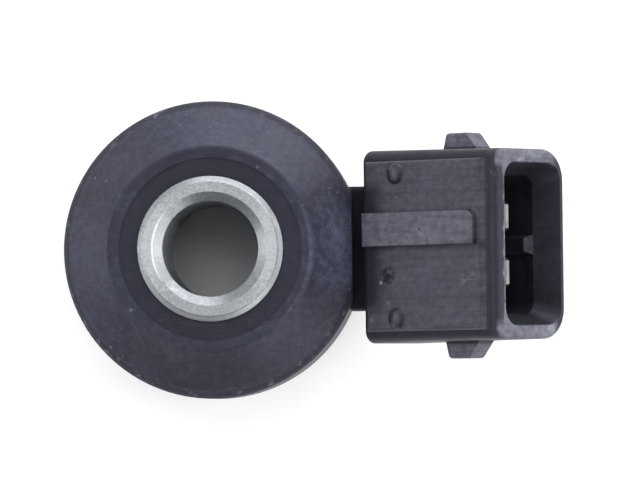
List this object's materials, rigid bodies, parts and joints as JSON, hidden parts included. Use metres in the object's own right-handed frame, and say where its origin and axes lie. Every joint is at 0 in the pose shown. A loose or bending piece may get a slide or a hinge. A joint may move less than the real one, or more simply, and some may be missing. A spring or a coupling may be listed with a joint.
{
  "type": "engine knock sensor",
  "caption": "Ring-shaped engine knock sensor: steel sleeve for a through bolt, round black moulding over the piezo stack, and a plug connector that leans upward with flat blades.",
  "frame": {"origin": "on the bore's axis, in the seating face of the sleeve's flange", "axes": "+Z along the bolt's axis, away from the engine block; +X towards the plug connector; the connector's own axis leans 38 degrees up from +X in the XZ plane"},
  "size_m": [0.0449, 0.0268, 0.0254],
  "materials": {
    "black_moulding": "moulded, semi-matt",
    "plated_steel": "turned and plated",
    "insulator": "smooth film",
    "contact_metal": "stamped",
    "piezo_ceramic": "silvered faces",
    "bare_steel": "turned",
    "spring_steel": "blued",
    "tinned_brass": "tin plated",
    "resistor_body": "lacquered"
  },
  "bodies": {
    "root": {"housing": "black_moulding", "pressure_sleeve": "plated_steel", "insulating_tube": "insulator", "lower_insulating_disc": "insulator", "lower_contact_disc": "contact_metal", "piezo_ring": "piezo_ceramic", "upper_contact_disc": "contact_metal", "upper_insulating_disc": "insulator", "seismic_mass": "bare_steel", "disc_spring": "spring_steel", "threaded_ring": "bare_steel", "terminal_blade_left": "tinned_brass", "terminal_blade_right": "tinned_brass", "shunt_resistor": "resistor_body"}
  },
  "joints": []
}
